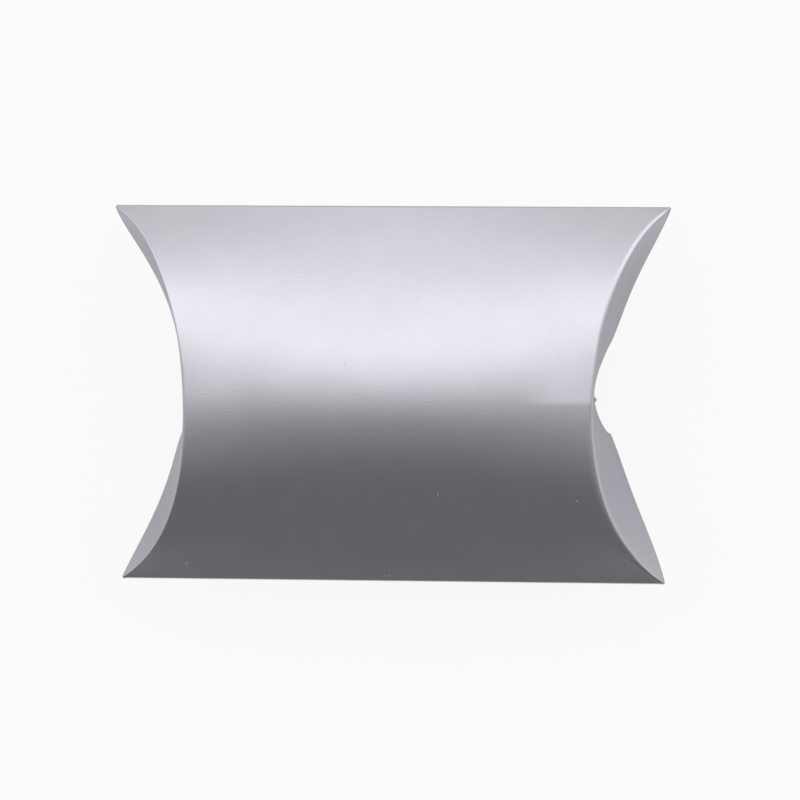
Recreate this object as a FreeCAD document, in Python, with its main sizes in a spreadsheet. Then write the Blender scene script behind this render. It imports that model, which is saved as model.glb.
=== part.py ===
import FreeCAD, Part
import math
import os
import Sketcher

# A pillow box: one sheet of card folded into a lens-shaped tube and closed at each end by two flaps.
# Every piece is drawn as a piece of the upper half, about the plane of the long folds, and its
# placement turns it to its end or its side and lifts the box on to the table.

doc = FreeCAD.newDocument("pillow_box")

# Driving dimensions in millimetres

DRIVING = [
    ("box_length", 90.0),
    ("box_width", 62.6),
    ("box_depth", 24.0),
    ("card", 0.4),
    ("fold_radius", 0.6),
    ("crease_gap", 0.15),
    ("crease_bevel", 0.25),
    ("outer_setback", 12.2),
    ("outer_bow", 6.3),
    ("foot_lean", 3.55),
    ("tip_overhang", 0.675),
    ("outer_edge_trim", 0.6),
    ("outer_tip_trim", 1.0),
    ("notch_radius", 7.8),
    ("nest_gap", 1.1),
    ("inner_rise", 5.3),
    ("inner_tip_trim", 2.8),
    ("seam_setback", 0.3),
    ("tab_width", 9.0),
    ("tab_inset", 1.2),
    ("tab_end", 5.0),
    ("tab_taper", 5.0),
    ("glue_film", 0.1),
    ("glue_inset", 1.5),
    ("glue_end", 14.0),
    ("layer_gap", 0.02),
]

# Sizes that follow from them: the lens section, the flap walls and the layers of the seam

DERIVED = [
    ("half_length", "box_length / 2"),
    ("half_width", "box_width / 2"),
    ("half_depth", "box_depth / 2"),
    ("lens_half", "half_width - fold_radius"),
    ("lens_rise", "half_depth - fold_radius"),
    ("panel_radius", "(lens_half ^ 2 + lens_rise ^ 2) / (2 * lens_rise) + fold_radius"),
    ("panel_inside", "panel_radius - card"),
    ("panel_drop", "panel_radius - half_depth"),
    ("panel_sweep", "2 * atan(lens_rise / lens_half)"),
    ("panel_from", "90 deg - panel_sweep"),
    ("panel_to", "90 deg + panel_sweep"),
    ("back_from", "panel_from + seam_setback / panel_radius * 1 rad"),
    ("panel_length", "box_length - 2 * (card + crease_gap)"),
    ("fold_inside", "fold_radius - card"),
    ("fold_from", "0 deg - panel_from"),
    ("outer_end", "half_width - outer_tip_trim"),
    ("outer_radius", "(half_width ^ 2 + outer_bow ^ 2) / (2 * outer_bow)"),
    ("outer_inside", "outer_radius + card"),
    ("outer_cut", "outer_inside + crease_gap"),
    ("outer_crease", "half_length - outer_setback"),
    ("outer_centre", "outer_crease + outer_radius"),
    ("outer_from", "180 deg - asin(outer_end / outer_radius)"),
    ("outer_to", "180 deg + asin(outer_end / outer_radius)"),
    ("foot_setback", "outer_setback - foot_lean"),
    ("foot_bow", "2 * (outer_setback + tip_overhang) - foot_lean - outer_bow"),
    ("foot_radius", "(half_width ^ 2 + foot_bow ^ 2) / (2 * foot_bow)"),
    ("foot_inside", "foot_radius + card"),
    ("foot_cut", "foot_inside + crease_gap"),
    ("foot_centre", "half_length - foot_setback + foot_radius"),
    ("foot_from", "180 deg - asin(outer_end / foot_radius)"),
    ("foot_to", "180 deg + asin(outer_end / foot_radius)"),
    ("outer_edge_drop", "panel_drop + outer_edge_trim"),
    ("notch_drop", "half_depth - outer_edge_trim"),
    ("inner_end", "half_width - inner_tip_trim"),
    ("inner_setback", "outer_setback + nest_gap"),
    ("inner_bow", "(outer_bow + foot_bow) / 2"),
    ("inner_radius", "(half_width ^ 2 + inner_bow ^ 2) / (2 * inner_bow)"),
    ("inner_inside", "inner_radius + card"),
    ("inner_cut", "inner_inside + crease_gap"),
    ("inner_crease", "half_length - inner_setback"),
    ("inner_centre", "inner_crease + inner_radius"),
    ("inner_from", "180 deg - asin(inner_end / inner_radius)"),
    ("inner_to", "180 deg + asin(inner_end / inner_radius)"),
    ("inner_edge_radius", "(half_width ^ 2 + inner_rise ^ 2) / (2 * inner_rise)"),
    ("inner_edge_drop", "inner_edge_radius - inner_rise"),
    ("glue_outside", "panel_inside - layer_gap"),
    ("glue_inside", "glue_outside - glue_film"),
    ("tab_outside", "glue_inside - layer_gap"),
    ("tab_inside", "tab_outside - card"),
    ("tab_from", "panel_from + tab_inset / panel_radius * 1 rad"),
    ("tab_to", "tab_from + tab_width / panel_radius * 1 rad"),
    ("tab_length", "box_length - 2 * tab_end"),
    ("tab_root", "tab_outside * cos(tab_from)"),
    ("tab_free", "tab_inside * cos(tab_to)"),
    ("tab_root_end", "tab_length / 2"),
    ("tab_free_end", "tab_root_end - tab_taper"),
    ("glue_from", "tab_from + glue_inset / panel_radius * 1 rad"),
    ("glue_to", "tab_to - glue_inset / panel_radius * 1 rad"),
    ("glue_length", "box_length - 2 * glue_end"),
]

sheet = doc.addObject("Spreadsheet::Sheet", "Dims")
for row, (alias, entry) in enumerate(DRIVING + DERIVED, start=1):
    sheet.set(f"A{row}", alias)
    sheet.set(f"B{row}", str(entry) if isinstance(entry, float) else f"={entry}")
    sheet.setAlias(f"B{row}", alias)
doc.recompute()


def size(alias):
    found = getattr(sheet, alias)
    return float(getattr(found, "Value", found))


# Drawing helpers

HORIZONTAL, VERTICAL = "DistanceX", "DistanceY"
# Sketch codes of a curve's points and of the two axes, which start at the origin
START, END, CENTRE = range(1, 4)
H_AXIS, V_AXIS = range(-1, -3, -1)


def add_body(name):
    body = doc.addObject("PartDesign::Body", name)
    body.Label = name
    return body


def add_sketch(body, name, plane, lift=None):
    sketch = body.newObject("Sketcher::SketchObject", name)
    support = [feature for feature in body.Origin.OriginFeatures if feature.Role == plane]
    sketch.AttachmentSupport = [(support[0], "")]
    sketch.MapMode = "FlatFace"
    if lift:
        sketch.setExpression("AttachmentOffset.Base.z", lift)
    return sketch


def bind(sketch, constraint, alias):
    index = sketch.addConstraint(constraint)
    sketch.setExpression(f"Constraints[{index}]", f"Dims.{alias}")


def pin(sketch, geometry, point, along, alias, sign):
    # Holds a point at a named distance from the origin, on the plus or the minus side.
    ends = (H_AXIS, START, geometry, point) if sign > 0 else (geometry, point, H_AXIS, START)
    bind(sketch, Sketcher.Constraint(along, *ends, size(alias)), alias)


def close(sketch, joints):
    for first, first_point, second, second_point in joints:
        sketch.addConstraint(Sketcher.Constraint("Coincident", first, first_point, second, second_point))


def arc(centre, radius, start, stop):
    circle = Part.Circle(centre, FreeCAD.Vector(0, 0, 1), radius)
    return Part.ArcOfCircle(circle, math.radians(start), math.radians(stop))


def arc_strip(sketch, centre_along, centre_alias, centre_sign, radii, angles):
    # A strip of card seen on edge: two arcs about one centre, joined by a radial cut at each end.
    reach = centre_sign * size(centre_alias)
    upright = centre_along == VERTICAL
    centre = FreeCAD.Vector(0, reach, 0) if upright else FreeCAD.Vector(reach, 0, 0)
    small, large = sorted(radii, key=size)
    first, last = angles
    for alias in (large, small):
        sketch.addGeometry(arc(centre, size(alias), size(first), size(last)))
    for alias in angles:
        turn = math.radians(size(alias))
        ray = FreeCAD.Vector(math.cos(turn), math.sin(turn), 0)
        sketch.addGeometry(Part.LineSegment(centre + ray * size(small), centre + ray * size(large)))
    close(sketch, [(2, START, 1, START), (2, END, 0, START), (3, START, 1, END), (3, END, 0, END)])
    close(sketch, [(0, CENTRE, 1, CENTRE)])
    pin(sketch, 0, CENTRE, centre_along, centre_alias, centre_sign)
    sketch.addConstraint(Sketcher.Constraint("PointOnObject", 0, CENTRE, V_AXIS if upright else H_AXIS))
    bind(sketch, Sketcher.Constraint("Radius", 0, size(large)), large)
    bind(sketch, Sketcher.Constraint("Radius", 1, size(small)), small)
    for line, alias in ((2, first), (3, last)):
        sketch.addConstraint(Sketcher.Constraint("PointOnObject", 0, CENTRE, line))
        bind(sketch, Sketcher.Constraint("Angle", line, math.radians(size(alias))), alias)


def arc_cap(sketch, along, centre_alias, centre_sign, radius, side, out, far):
    # The waste beyond an arc: the arc across the box's width, closed by three straight lines.
    reach = centre_sign * size(centre_alias)
    half = size("half_width")
    rise = reach + side * math.sqrt(size(radius) ** 2 - half ** 2)
    limit = out * size(far)
    upright = along == VERTICAL

    def point(across, forward):
        return FreeCAD.Vector(across, forward, 0) if upright else FreeCAD.Vector(forward, across, 0)

    facing = (90 if upright else 0) if side > 0 else (270 if upright else 180)
    spread = math.degrees(math.asin(half / size(radius)))
    sketch.addGeometry(arc(point(0, reach), size(radius), facing - spread, facing + spread))
    starts_low = upright != (side > 0)
    low, high = (START, END) if starts_low else (END, START)
    sketch.addGeometry(Part.LineSegment(point(half, rise), point(half, limit)))
    sketch.addGeometry(Part.LineSegment(point(half, limit), point(-half, limit)))
    sketch.addGeometry(Part.LineSegment(point(-half, limit), point(-half, rise)))
    close(sketch, [(0, high, 1, START), (1, END, 2, START), (2, END, 3, START), (3, END, 0, low)])
    straight, level = ("Vertical", "Horizontal") if upright else ("Horizontal", "Vertical")
    for line, direction in ((1, straight), (2, level), (3, straight)):
        sketch.addConstraint(Sketcher.Constraint(direction, line))
    across_along = HORIZONTAL if upright else VERTICAL
    sketch.addConstraint(Sketcher.Constraint("PointOnObject", 0, CENTRE, V_AXIS if upright else H_AXIS))
    pin(sketch, 0, CENTRE, along, centre_alias, centre_sign)
    bind(sketch, Sketcher.Constraint("Radius", 0, size(radius)), radius)
    pin(sketch, 1, START, across_along, "half_width", 1)
    pin(sketch, 3, START, across_along, "half_width", -1)
    pin(sketch, 2, START, along, far, out)


def pad_both_ways(body, name, sketch, length):
    pad = body.newObject("PartDesign::Pad", name)
    pad.Profile = sketch
    pad.SideType = "Symmetric"
    pad.setExpression("Length", f"Dims.{length}")
    doc.recompute()
    return pad


def cut_through(body, name, sketch):
    before = body.Shape.Volume
    pocket = body.newObject("PartDesign::Pocket", name)
    pocket.Profile = sketch
    pocket.SideType = "Symmetric"
    pocket.Type = "ThroughAll"
    doc.recompute()
    if not body.Shape.Volume < before:
        raise RuntimeError(f"{name} removes nothing")
    return pocket


def loft(body, kind, name, sections):
    made = body.newObject(kind, name)
    made.Profile = sections[0]
    made.Sections = sections[1:]
    made.Ruled = True
    doc.recompute()
    return made


def bevel_crease(body, name, crease_alias):
    # Breaks the outside edge of a flap along its crease, found by the crease's middle point.
    middle = Part.Vertex(size(crease_alias), 0, size("half_depth"))
    reaches = [edge.distToShape(middle)[0] for edge in body.Shape.Edges]
    names = [f"Edge{index}" for index, reach in enumerate(reaches, start=1) if reach < size("layer_gap")]
    bevel = body.newObject("PartDesign::Chamfer", name)
    bevel.Base = (body.Group[-2], names)
    bevel.setExpression("Size", "Dims.crease_bevel")
    doc.recompute()
    return bevel


def place(body, axis, turned):
    # Lifts the piece so that the box lies on the table, turned half round where it is the far one.
    body.Placement = FreeCAD.Placement(FreeCAD.Vector(), FreeCAD.Rotation(axis, 180 if turned else 0))
    body.setExpression("Placement.Base.z", "Dims.half_depth")


X_AXIS = FreeCAD.Vector(1, 0, 0)
Y_AXIS = FreeCAD.Vector(0, 1, 0)
Z_AXIS = FreeCAD.Vector(0, 0, 1)

# Front panel: a bulged sheet whose ends stop against the leaning walls of the outer flaps


def front_panel():
    body = add_body("front_panel")
    section = add_sketch(body, "front_section", "YZ_Plane")
    arc_strip(section, VERTICAL, "panel_drop", -1, ("panel_radius", "panel_inside"), ("panel_from", "panel_to"))
    pad_both_ways(body, "front_sheet", section, "panel_length")
    for end, sign in (("right", 1), ("left", -1)):
        before = body.Shape.Volume
        high = add_sketch(body, f"{end}_crease_high", "XY_Plane", "Dims.half_depth")
        arc_cap(high, HORIZONTAL, "outer_centre", sign, "outer_cut", -sign, sign, "box_length")
        low = add_sketch(body, f"{end}_crease_low", "XY_Plane", "-Dims.half_depth")
        arc_cap(low, HORIZONTAL, "foot_centre", sign, "foot_cut", -sign, sign, "box_length")
        doc.recompute()
        loft(body, "PartDesign::SubtractiveLoft", f"{end}_crease", [high, low])
        if not body.Shape.Volume < before:
            raise RuntimeError(f"{end} crease removes nothing")
    place(body, X_AXIS, False)
    return body


# Back panel: the same bulge turned over, with upright ends and one long edge set back at the seam


def back_panel():
    body = add_body("back_panel")
    section = add_sketch(body, "back_section", "YZ_Plane")
    arc_strip(section, VERTICAL, "panel_drop", -1, ("panel_radius", "panel_inside"), ("back_from", "panel_to"))
    pad_both_ways(body, "back_sheet", section, "panel_length")
    for end, sign in (("right", 1), ("left", -1)):
        outline = add_sketch(body, f"{end}_crease_plan", "XY_Plane")
        arc_cap(outline, HORIZONTAL, "inner_centre", sign, "inner_cut", -sign, sign, "box_length")
        cut_through(body, f"{end}_inner_crease", outline)
    place(body, X_AXIS, True)
    return body


# Long folds: rounded noses of card between the two panels


def long_fold(name, turned):
    body = add_body(name)
    section = add_sketch(body, f"{name}_section", "YZ_Plane")
    arc_strip(section, HORIZONTAL, "lens_half", 1, ("fold_radius", "fold_inside"), ("fold_from", "panel_from"))
    pad_both_ways(body, f"{name}_nose", section, "panel_length")
    place(body, Z_AXIS, turned)
    return body


# Outer flaps: a leaning, cone-like wall between a shallow bow and a deep one, trimmed to the panel's
# bulge along the crease and to the mirrored bulge along its free edge, with a half-round thumb notch


def outer_flap(name, turned):
    body = add_body(name)
    high = add_sketch(body, f"{name}_high", "XY_Plane", "Dims.half_depth")
    arc_strip(high, HORIZONTAL, "outer_centre", 1, ("outer_radius", "outer_inside"), ("outer_from", "outer_to"))
    low = add_sketch(body, f"{name}_low", "XY_Plane", "-Dims.half_depth")
    arc_strip(low, HORIZONTAL, "foot_centre", 1, ("foot_radius", "foot_inside"), ("foot_from", "foot_to"))
    doc.recompute()
    loft(body, "PartDesign::AdditiveLoft", f"{name}_wall", [high, low])
    crease = add_sketch(body, f"{name}_crease_line", "YZ_Plane")
    arc_cap(crease, VERTICAL, "panel_drop", -1, "panel_radius", 1, 1, "box_depth")
    cut_through(body, f"{name}_crease", crease)
    edge = add_sketch(body, f"{name}_edge_line", "YZ_Plane")
    arc_cap(edge, VERTICAL, "outer_edge_drop", 1, "panel_radius", -1, -1, "box_depth")
    cut_through(body, f"{name}_edge", edge)
    notch = add_sketch(body, f"{name}_notch_line", "YZ_Plane")
    notch_centre = FreeCAD.Vector(0, -size("notch_drop"), 0)
    notch.addGeometry(Part.Circle(notch_centre, FreeCAD.Vector(0, 0, 1), size("notch_radius")))
    notch.addConstraint(Sketcher.Constraint("PointOnObject", 0, CENTRE, V_AXIS))
    pin(notch, 0, CENTRE, VERTICAL, "notch_drop", -1)
    bind(notch, Sketcher.Constraint("Radius", 0, size("notch_radius")), "notch_radius")
    cut_through(body, f"{name}_notch", notch)
    bevel_crease(body, f"{name}_bevel", "outer_crease")
    place(body, Z_AXIS, turned)
    return body


# Inner flaps: an upright bowed wall on the back panel, shorter than the opening


def inner_flap(name, axis):
    body = add_body(name)
    plan = add_sketch(body, f"{name}_plan", "XY_Plane")
    arc_strip(plan, HORIZONTAL, "inner_centre", 1, ("inner_radius", "inner_inside"), ("inner_from", "inner_to"))
    pad_both_ways(body, f"{name}_wall", plan, "box_depth")
    crease = add_sketch(body, f"{name}_crease_line", "YZ_Plane")
    arc_cap(crease, VERTICAL, "panel_drop", -1, "panel_radius", 1, 1, "box_depth")
    cut_through(body, f"{name}_crease", crease)
    edge = add_sketch(body, f"{name}_edge_line", "YZ_Plane")
    arc_cap(edge, VERTICAL, "inner_edge_drop", 1, "inner_edge_radius", -1, -1, "box_depth")
    cut_through(body, f"{name}_edge", edge)
    bevel_crease(body, f"{name}_bevel", "inner_crease")
    place(body, axis, True)
    return body


# Glue tab: a strip inside the back panel along the seam, with tapered ends


def glue_tab():
    body = add_body("glue_tab")
    section = add_sketch(body, "tab_section", "YZ_Plane")
    arc_strip(section, VERTICAL, "panel_drop", -1, ("tab_outside", "tab_inside"), ("tab_from", "tab_to"))
    pad_both_ways(body, "tab_strip", section, "tab_length")
    for end, sign in (("right", 1), ("left", -1)):
        corner = add_sketch(body, f"{end}_tab_taper", "XY_Plane")
        root = FreeCAD.Vector(sign * size("tab_root_end"), size("tab_root"), 0)
        tip = FreeCAD.Vector(sign * size("tab_free_end"), size("tab_free"), 0)
        outside = FreeCAD.Vector(sign * size("tab_root_end"), size("tab_free"), 0)
        for first, second in ((root, tip), (tip, outside), (outside, root)):
            corner.addGeometry(Part.LineSegment(first, second))
        close(corner, [(0, END, 1, START), (1, END, 2, START), (2, END, 0, START)])
        corner.addConstraint(Sketcher.Constraint("Horizontal", 1))
        corner.addConstraint(Sketcher.Constraint("Vertical", 2))
        pin(corner, 0, START, HORIZONTAL, "tab_root_end", sign)
        pin(corner, 0, START, VERTICAL, "tab_root", 1)
        pin(corner, 1, START, HORIZONTAL, "tab_free_end", sign)
        pin(corner, 1, START, VERTICAL, "tab_free", 1)
        cut_through(body, f"{end}_tab_end", corner)
    place(body, X_AXIS, True)
    return body


# Glue line: the film of adhesive between the tab and the back panel


def glue_line():
    body = add_body("glue_line")
    section = add_sketch(body, "glue_section", "YZ_Plane")
    arc_strip(section, VERTICAL, "panel_drop", -1, ("glue_outside", "glue_inside"), ("glue_from", "glue_to"))
    pad_both_ways(body, "glue_strip", section, "glue_length")
    place(body, X_AXIS, True)
    return body


pieces = [
    front_panel(),
    back_panel(),
    long_fold("spine_fold", False),
    long_fold("seam_fold", True),
    outer_flap("right_outer_flap", False),
    outer_flap("left_outer_flap", True),
    inner_flap("right_inner_flap", X_AXIS),
    inner_flap("left_inner_flap", Y_AXIS),
    glue_tab(),
    glue_line(),
]
doc.recompute()

# Every feature must have built, and every piece must be one valid solid, before it is written

for feature in doc.Objects:
    if "Invalid" in feature.State or "Error" in feature.State:
        raise RuntimeError(f"{feature.Label} failed: {feature.State}")
os.makedirs("parts", exist_ok=True)
for body in pieces:
    if body.Shape.isNull() or not body.Shape.isValid() or len(body.Shape.Solids) != 1:
        raise RuntimeError(f"{body.Label} is not one valid solid")
    body.Shape.exportStep(os.path.join("parts", f"{body.Label}.step"))
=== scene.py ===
import math
from collections import namedtuple
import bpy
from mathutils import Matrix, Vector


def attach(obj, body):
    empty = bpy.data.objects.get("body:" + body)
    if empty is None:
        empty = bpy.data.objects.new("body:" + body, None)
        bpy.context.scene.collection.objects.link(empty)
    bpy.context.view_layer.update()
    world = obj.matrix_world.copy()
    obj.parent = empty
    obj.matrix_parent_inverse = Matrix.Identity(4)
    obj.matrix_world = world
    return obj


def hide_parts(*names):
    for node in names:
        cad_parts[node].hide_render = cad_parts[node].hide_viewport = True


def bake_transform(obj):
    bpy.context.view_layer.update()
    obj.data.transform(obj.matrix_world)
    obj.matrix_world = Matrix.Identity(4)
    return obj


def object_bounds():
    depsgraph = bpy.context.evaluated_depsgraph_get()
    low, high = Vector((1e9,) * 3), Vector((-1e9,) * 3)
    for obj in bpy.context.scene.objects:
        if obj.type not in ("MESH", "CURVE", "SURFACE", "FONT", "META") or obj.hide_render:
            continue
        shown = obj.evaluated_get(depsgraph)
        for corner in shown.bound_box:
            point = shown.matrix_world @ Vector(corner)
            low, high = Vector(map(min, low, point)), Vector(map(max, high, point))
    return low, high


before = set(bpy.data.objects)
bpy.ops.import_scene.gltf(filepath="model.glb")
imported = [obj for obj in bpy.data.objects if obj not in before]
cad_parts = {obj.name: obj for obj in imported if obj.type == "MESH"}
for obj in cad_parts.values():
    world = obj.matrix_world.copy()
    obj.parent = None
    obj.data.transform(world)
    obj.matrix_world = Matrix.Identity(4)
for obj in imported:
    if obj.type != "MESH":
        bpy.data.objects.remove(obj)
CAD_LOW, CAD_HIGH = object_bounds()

from types import SimpleNamespace

import bpy
from bpy.props import FloatProperty, FloatVectorProperty, PointerProperty
from mathutils import Matrix, Vector

bl_info = {
    "name": "Silver Pillow Box",
    "version": (1, 0, 0),
    "blender": (4, 5, 0),
    "location": "View3D > Sidebar > Pillow Box",
    "description": "Dresses a folded pillow box of silver card: panels, folds, end flaps and a glued seam",
    "category": "Object",
}

MM = 0.001
X_AXIS = Vector((1, 0, 0))
Y_AXIS = Vector((0, 1, 0))
Z_AXIS = Vector((0, 0, 1))
NO_TURN = Matrix.Identity(4)

# Grids of the sheets: rows and columns, their span, and the shares that the roll and the notch take

PANEL_GRID = (121, 241)
FLAP_GRID = (65, 201)
NOSE_GRID = (121, 17)
GRID_SPAN = 2
ROLL_ROW_SHARE = 0.25
NOTCH_COLUMN_SHARE = 0.4

# Edges of the sheets: the angle from which they stay sharp, and the attribute that marks a die-cut one,
# where the face gets a painted shade line

SHARP_ANGLE = math.radians(24)
CUT_MARK = "cut"

# Places of the small forms, from the crown towards the spine

SPINE_SIDE_STEP = (-5 * MM, 10 * MM)
CRISP_STEP = (-4 * MM, 8 * MM)
RIDGE_PLACE = 0.8 * MM
NICK_PLACE = -0.9 * MM

# Shares that shape the small forms

RIDGE_STEP_SHARES = (0.6, 0.88)
ROLL_ROOM_SHARE = 0.45
TIP_ROLL_SHARE = 0.3
CRISP_ROLL_SHARE = 0.45
CRISP_DROP_SHARE = 0.6
PINCH_SPREAD_SHARE = 0.75
BELLY_ROUND_SHARE = 0.08

# Powers that keep a form near the middle of a crease or near its tips, and what brings the second to one

MIDDLE_POWER = 6
NEAR_TIP_POWER = 4
NEAR_TIP_SCALE = 12.2

# Limits of the sums: the least divisor, and the search for a point of a wall

LEAST = 1e-6
PAST_SWEEP_SHARE = 1.2
HALVINGS = 40

# Grain of the card, specks of dust and the painted shade line at a die-cut edge, which stands in for the
# shadow in the gap there

NOISE_DETAILS = {"Grain": 3.0, "Mottle": 4.0}
NOISE_ROUGHNESS = 0.6
GRAIN_SHARE = 0.55
TONE_RANGE = (0.3, 0.7)
SILVER_ROUGHNESS_SPREAD = 0.03
SPECK_SPACING = 4 * MM
SPECK_SIZE = 0.12 * MM
CUT_SHADE_SHARE = 0.8

# Dome of light, in steps of a direction's sideways part: -1 is at the seam's side and 1 at the spine's

STEEP_SHARE = 0.54
STEEP_STEP = (-0.329, 0.338)
BROAD_STEP = (-0.771, 0.419)
FADE_STEP = (0.408, 1.331)

# Floor in metres, sensor in millimetres, and the point that the camera faces, from the middle of the box

FLOOR_REACH = 3.0
SENSOR_WIDTH = 36
AIM = (1.32 * MM, -0.71 * MM, 0)


# Settings that a user would change


def length(name, description, default):
    """A length in metres."""
    return FloatProperty(name=name, description=description, default=default, unit="LENGTH", precision=5)


def colour(name, description, default):
    """A colour without alpha."""
    return FloatVectorProperty(name=name, description=description, default=default, size=3,
                               subtype="COLOR", min=0, max=1)


def share(name, description, default):
    """A share from nought to one."""
    return FloatProperty(name=name, description=description, default=default,
                         subtype="FACTOR", min=0, max=1)


def level(name, description, default):
    """A level of light."""
    return FloatProperty(name=name, description=description, default=default, min=0)


def angle(name, description, degrees):
    """An angle, given in degrees."""
    return FloatProperty(name=name, description=description, default=math.radians(degrees),
                         subtype="ANGLE")


class PillowBoxSizes(bpy.types.PropertyGroup):
    """Sizes of the folded card"""
    box_length: length("Length", "Length between the tips of the end creases", 90 * MM)
    box_width: length("Width", "Width across the two long folds", CAD_HIGH.y - CAD_LOW.y)
    box_depth: length("Depth", "Depth between the crowns of the two panels", CAD_HIGH.z - CAD_LOW.z)
    card: length("Card", "Thickness of the card", 0.4 * MM)
    fold_radius: length("Fold radius", "Outer radius of the long folds", 0.6 * MM)
    seam_setback: length("Seam setback", "Gap between the back panel and the seam fold", 0.3 * MM)
    outer_setback: length("Outer setback", "How far in the outer crease is at its middle", 12.2 * MM)
    outer_bow: length("Outer bow", "Bow of the outer flap at the height of the crown", 6.3 * MM)
    foot_lean: length("Foot lean", "How far the outer flap leans out at its foot", 3.55 * MM)
    tip_overhang: length("Tip overhang", "How far the outer flap's line passes the box's end", 0.675 * MM)
    flap_end: length("Flap end", "Where the outer flap's sweep is measured, from the fold", 1 * MM)
    edge_trim: length("Edge trim", "Gap between the outer flap and the back panel", 0.6 * MM)
    notch_radius: length("Notch radius", "Radius of the thumb notch", 7.8 * MM)
    notch_pinch: length("Notch pinch", "How far the outer flap is pressed in at its notch", 2.6 * MM)
    nest_gap: length("Nest gap", "How far behind the outer crease the inner one is", 1.1 * MM)
    inner_rise: length("Inner rise", "How far the inner flap rises past the folds' plane", 5.3 * MM)
    inner_trim: length("Inner trim", "Gap between the inner flap's end and the fold", 2.8 * MM)
    inner_roll: length("Inner roll", "Width of the roll beside an inner crease", 0.7 * MM)
    right_roll: length("Right roll", "Width of the soft roll beside the right crease", 1.5 * MM)
    left_roll: length("Left roll", "Width of the sharper roll beside the left crease", 0.2 * MM)
    right_middle_roll: length("Right middle roll", "Width added to the roll's middle", -0.4 * MM)
    left_middle_roll: length("Left middle roll", "Width added to the roll's middle", 0.5 * MM)
    right_middle_set: length("Right middle set", "How far in the crease's middle is set", 0 * MM)
    left_middle_set: length("Left middle set", "How far in the crease's middle is set", -0.35 * MM)
    right_spine_set: length("Right spine set", "How far in the crease is near the spine", 0.55 * MM)
    left_spine_set: length("Left spine set", "How far in the crease is near the spine", 0.65 * MM)
    right_seam_set: length("Right seam set", "How far in the crease is near the seam", 0 * MM)
    left_seam_set: length("Left seam set", "How far in the crease is near the seam", 0.15 * MM)
    right_belly: length("Right belly", "How far the flap bellies out beside its notch", 0.32 * MM)
    left_belly: length("Left belly", "How far the flap bellies out beside its notch", -0.35 * MM)
    right_skew: length("Right skew", "How much more the flap bellies at the seam", 0.18 * MM)
    left_skew: length("Left skew", "How much more the flap bellies at the seam", -0.10 * MM)
    right_flare: length("Right flare", "How far the flap flares near the spine", 0 * MM)
    left_flare: length("Left flare", "How far the flap flares near the spine", 0.2 * MM)
    nick: length("Nick", "Burr of card left in the right notch by the cutting die", 0.45 * MM)
    fold_ease: length("Fold ease", "How much straighter the front runs to its folds", 2.8 * MM)
    seam_shoulder: length("Seam shoulder", "Fullness of the front's ends at the seam", 6 * MM)
    spine_shoulder: length("Spine shoulder", "Fullness of the front's ends at the spine", 7.5 * MM)
    ridge_width: length("Ridge width", "Reach of the ridge towards the spine", 8 * MM)
    right_ridge: length("Right ridge", "Fall of the front's end from its ridge", 0.5 * MM)
    left_ridge: length("Left ridge", "Fall of the front's end from its ridge", 0.35 * MM)
    right_ridge_round: length("Right ridge rounding", "Rounding of the ridge", 0.15 * MM)
    left_ridge_round: length("Left ridge rounding", "Rounding of the ridge", 2.5 * MM)
    # Width of the painted shade line along a die-cut edge
    edge_shade_width: length("Edge shade width", "Width of the darker line along a die-cut edge", 0.4 * MM)
    bend_start: length("Bend start", "Strip of a flap that stays with the panel", 1.2 * MM)
    bend_run: length("Bend run", "Run over which a flap bends from its crease", 6 * MM)


class PillowBoxFinish(bpy.types.PropertyGroup):
    """Colours and grain of the card"""
    silver: colour("Silver", "Metallised face of the card", (0.75, 0.728, 0.795))
    silver_low: colour("Silver, low", "Darker mottle of the metallised face", (0.69, 0.668, 0.734))
    silver_rim: colour("Silver, rim", "Tint of the metallised face at a low angle", (0.79, 0.78, 0.81))
    dust: colour("Dust", "Specks of dust on the card", (0.80, 0.79, 0.80))
    # Dark colour of the cut edge, partly painted shade; it also colours the painted shade line along
    # die-cut edges of the silver face
    raw_edge_and_shade: colour("Raw edge", "Cut edge of the card", (0.22, 0.215, 0.23))
    inside: colour("Inside", "Unprinted inside of the card", (0.80, 0.79, 0.77))
    glue: colour("Glue", "Dried glue film", (0.78, 0.74, 0.62))
    roughness: share("Roughness", "Roughness of the metallised face", 0.18)


class PillowBoxStage(bpy.types.PropertyGroup):
    """Floor, light and camera"""
    floor: colour("Floor", "Colour of the floor", (0.93, 0.93, 0.93))
    seam_light: level("Seam light", "Level of the light from the seam's side", 0.166)
    crown_light: level("Crown light", "Level of the light from above the crown", 1.18)
    spine_light: level("Spine light", "Level of the light low on the spine's side", 0.54)
    floor_glow: share("Floor glow", "Share of the floor that the camera sees as plain white", 0.9)
    mirror_level: share("Mirror level", "Level of the plain floor that metal and glass show", 0.68)
    mirror_share: share("Mirror share", "Share of the floor that metal and glass see as plain", 0.3)
    lens: FloatProperty(name="Lens", description="Focal length", default=113.3, unit="CAMERA", min=1)
    distance: length("Distance", "Camera distance from the middle of the box", 415.4 * MM)
    lean_right: angle("Lean right", "Camera angle towards the right end", 3.14)
    lean_up: angle("Lean up", "Camera angle towards the spine fold", 8.85)


# Shape of the folded card, about the plane of the long folds


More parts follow.
